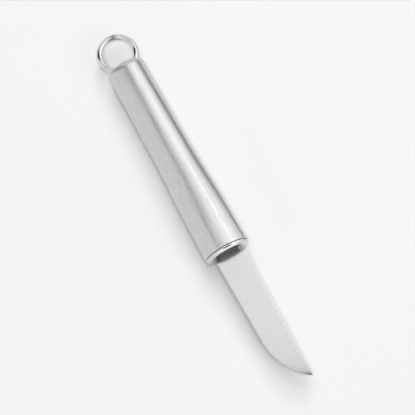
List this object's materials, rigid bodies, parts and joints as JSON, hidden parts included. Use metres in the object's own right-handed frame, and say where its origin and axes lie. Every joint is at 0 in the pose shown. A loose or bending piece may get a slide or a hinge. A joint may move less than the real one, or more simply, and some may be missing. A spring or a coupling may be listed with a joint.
{
  "type": "paring knife",
  "caption": "Small kitchen knife with a short pointed blade, a hollow round steel handle that flares towards the blade, and a fixed wire ring for hanging.",
  "frame": {"origin": "on the handle's axis, at the plug's front face, where the blade comes out", "axes": "+X along the handle's axis towards the blade's tip, +Y towards the blade's spine, +Z square to the blade, up when the knife lies on its side"},
  "size_m": [0.1912, 0.0224, 0.0224],
  "materials": {
    "brushed_handle": "satin stainless steel, fine brushing",
    "polished_wire": "polished stainless wire",
    "polished_plug": "polished stainless steel",
    "ground_blade": "stainless steel, ground across the blade",
    "weld_metal": "raw weld beads, inside the handle",
    "black_sealant": "matt black bonding bead"
  },
  "bodies": {
    "root": {"handle_tube": "brushed_handle", "end_cap": "brushed_handle", "hanging_ring": "polished_wire", "ring_welds": "weld_metal", "front_plug": "polished_plug", "seam_seal": "black_sealant", "blade": "ground_blade", "tang_welds": "weld_metal"}
  },
  "joints": []
}
